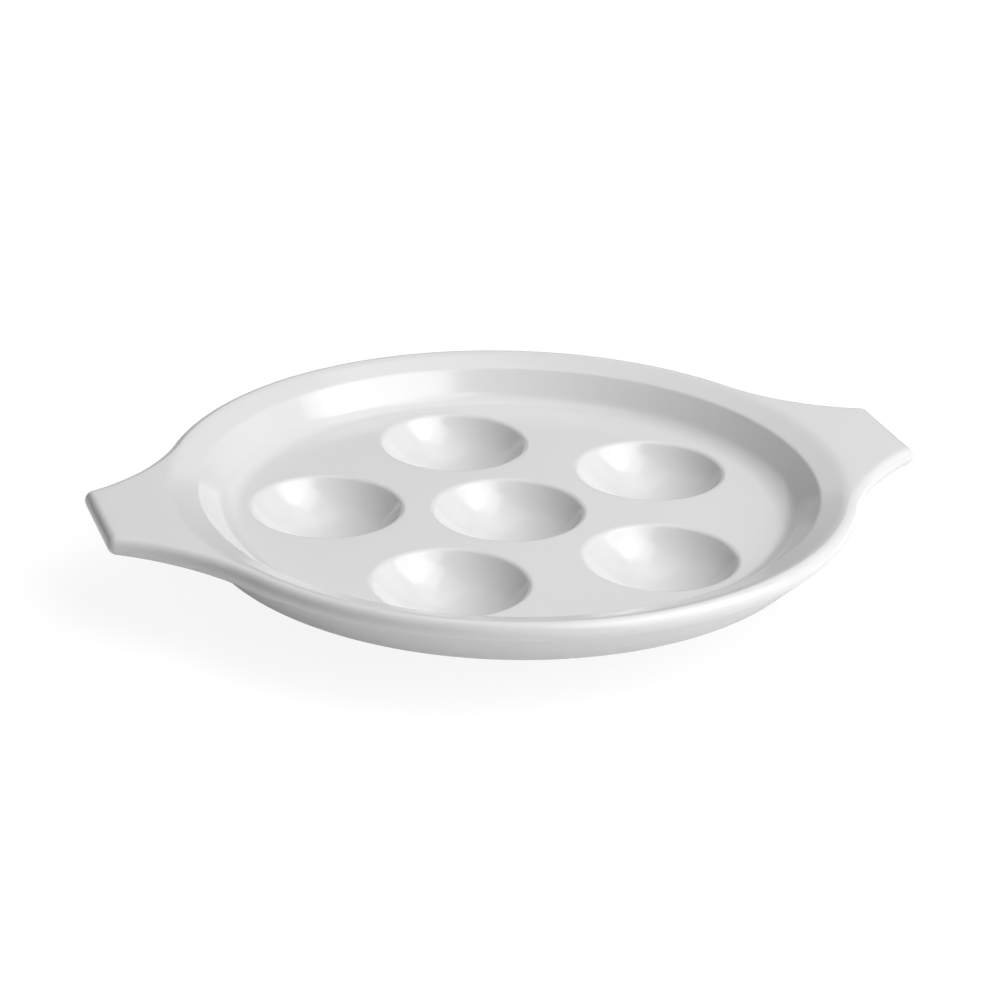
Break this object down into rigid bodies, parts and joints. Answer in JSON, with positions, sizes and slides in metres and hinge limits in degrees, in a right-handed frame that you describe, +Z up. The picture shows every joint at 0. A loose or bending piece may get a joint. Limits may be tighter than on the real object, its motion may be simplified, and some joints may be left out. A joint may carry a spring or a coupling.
{
  "type": "escargot plate",
  "caption": "Round shallow glazed dish with a middle well, a ring of wells around it, a sloping wall, a flat rim, opposite lugs and a foot ring, for baking and serving snails.",
  "frame": {"origin": "middle of the dish on the surface that it stands on", "axes": "+X along the lugs, towards the right lug; +Y towards the well that lies square to the lugs; +Z up out of the wells"},
  "size_m": [0.209, 0.174, 0.0249],
  "materials": {
    "clay": "bare fired clay, fine and matte",
    "glaze": "white glaze, soft gloss"
  },
  "bodies": {
    "root": {"dish_body": "clay", "left_lug": "clay", "right_lug": "clay", "foot_ring": "clay", "upper_glaze": "glaze", "lower_glaze": "glaze"}
  },
  "joints": []
}
